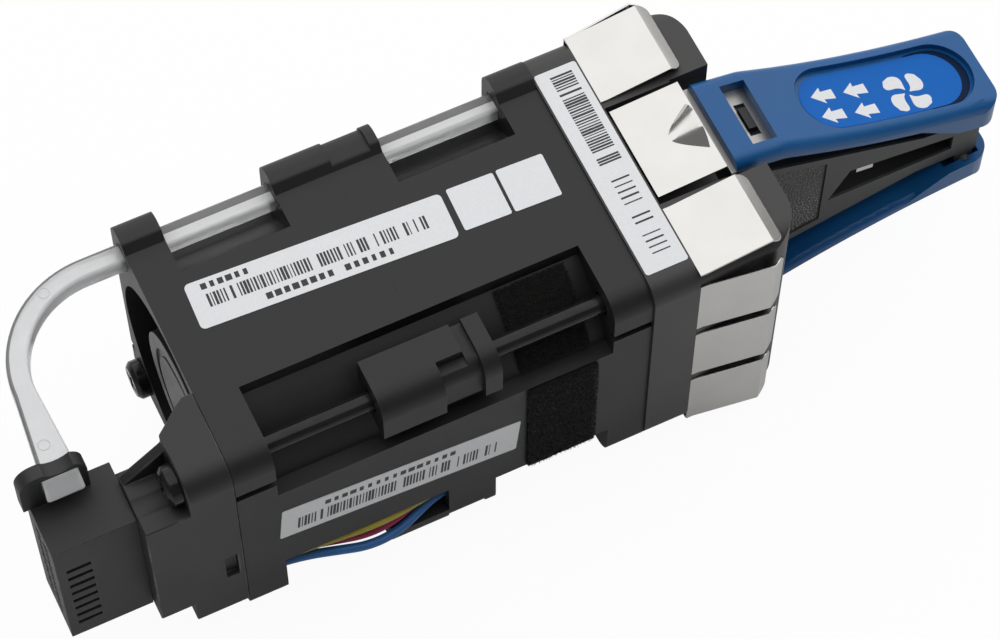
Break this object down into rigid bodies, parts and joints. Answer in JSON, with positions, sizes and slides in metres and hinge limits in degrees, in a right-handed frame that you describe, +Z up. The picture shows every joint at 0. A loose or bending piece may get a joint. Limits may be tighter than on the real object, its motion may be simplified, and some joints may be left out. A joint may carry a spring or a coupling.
{
  "type": "fan module",
  "caption": "Hot-swap fan module with inline fans in square frames, rear blind-mate connector, clear light pipe, shielded front bezel and a wedge handle with squeeze levers.",
  "frame": {"origin": "on the fan axis, in the outer face of the rear flange", "axes": "+X along the fan axis towards the handle, +Z up out of the labelled side, +Y to the side away from the connector"},
  "size_m": [0.1447, 0.0432, 0.0462],
  "materials": {
    "black_plastic": "moulded, fine satin texture",
    "blue_plastic": "moulded, semi-gloss",
    "nickel": "nickel-plated spring sheet",
    "clear_plastic": "clear moulded polycarbonate",
    "black_screw": "glossy black oxide",
    "grille_sheet": "punched sheet, black",
    "contact_metal": "gold-plated contacts",
    "felt": "black felt",
    "steel": "ground steel",
    "laminations": "stacked laminations",
    "copper": "enamelled copper wire",
    "ferrite": "ring magnet",
    "board": "round circuit board",
    "lead_yellow": "insulated lead",
    "lead_red": "insulated lead",
    "lead_blue": "insulated lead",
    "lead_black": "insulated lead"
  },
  "bodies": {
    "frame": {"rear_fan_frame": "black_plastic", "front_fan_frame": "black_plastic", "bezel": "black_plastic", "connector_bracket": "black_plastic", "connector_housing": "black_plastic", "handle_core": "black_plastic", "emi_fingers_top": "nickel", "emi_fingers_bottom": "nickel", "emi_fingers_near": "nickel", "emi_fingers_far": "nickel", "spring_bar": "nickel", "light_pipe": "clear_plastic", "long_screws": "black_screw", "front_grille": "grille_sheet", "connector_contacts": "contact_metal", "felt_pad_side": "felt", "felt_pad_top": "felt", "front_bearings": "steel", "rear_bearings": "steel", "front_stator_core": "laminations", "rear_stator_core": "laminations", "front_stator_coils": "copper", "rear_stator_coils": "copper", "front_motor_board": "board", "rear_motor_board": "board", "lead_yellow": "lead_yellow", "lead_red": "lead_red", "lead_blue": "lead_blue", "lead_black": "lead_black"},
    "rear_rotor": {"rear_impeller": "black_plastic", "rear_rotor_yoke": "steel", "rear_magnet": "ferrite", "rear_shaft": "steel", "rear_retaining_clip": "steel"},
    "front_rotor": {"front_impeller": "black_plastic", "front_rotor_yoke": "steel", "front_magnet": "ferrite", "front_shaft": "steel", "front_retaining_clip": "steel"},
    "lever_top": {"lever_top": "blue_plastic", "latch_tab_top": "nickel"},
    "latch_top": {"latch_top": "nickel"},
    "lever_bottom": {"lever_bottom": "blue_plastic", "latch_tab_bottom": "nickel"},
    "latch_bottom": {"latch_bottom": "nickel"}
  },
  "joints": [
    {"name": "rear_spin", "type": "hinge", "parent": "frame", "child": "rear_rotor", "pos_m": [0, 0, 0], "axis": [1, 0, 0], "continuous": true},
    {"name": "front_spin", "type": "hinge", "parent": "frame", "child": "front_rotor", "pos_m": [0, 0, 0], "axis": [1, 0, 0], "continuous": true},
    {"name": "lever_top_squeeze", "type": "hinge", "parent": "frame", "child": "lever_top", "pos_m": [0.1161, 0, 0.00287], "axis": [0, -1, 0], "range_deg": [0, 3.4], "stiffness_Nm_per_rad": 1, "springref_deg": -6.88},
    {"name": "latch_top_dip", "type": "hinge", "parent": "frame", "child": "latch_top", "pos_m": [0.06595, 0, 0.02], "axis": [0, 1, 0], "range_deg": [0, 12.6]},
    {"name": "lever_bottom_squeeze", "type": "hinge", "parent": "frame", "child": "lever_bottom", "pos_m": [0.1161, 0, -0.00853], "axis": [0, 1, 0], "range_deg": [0, 3.4], "stiffness_Nm_per_rad": 1, "springref_deg": -6.88},
    {"name": "latch_bottom_dip", "type": "hinge", "parent": "frame", "child": "latch_bottom", "pos_m": [0.06595, 0, -0.02], "axis": [0, -1, 0], "range_deg": [0, 12.6]}
  ],
  "couplings": [
    {"joint": "latch_top_dip", "follows": "lever_top_squeeze", "ratio": 3.7},
    {"joint": "latch_bottom_dip", "follows": "lever_bottom_squeeze", "ratio": 3.7}
  ]
}
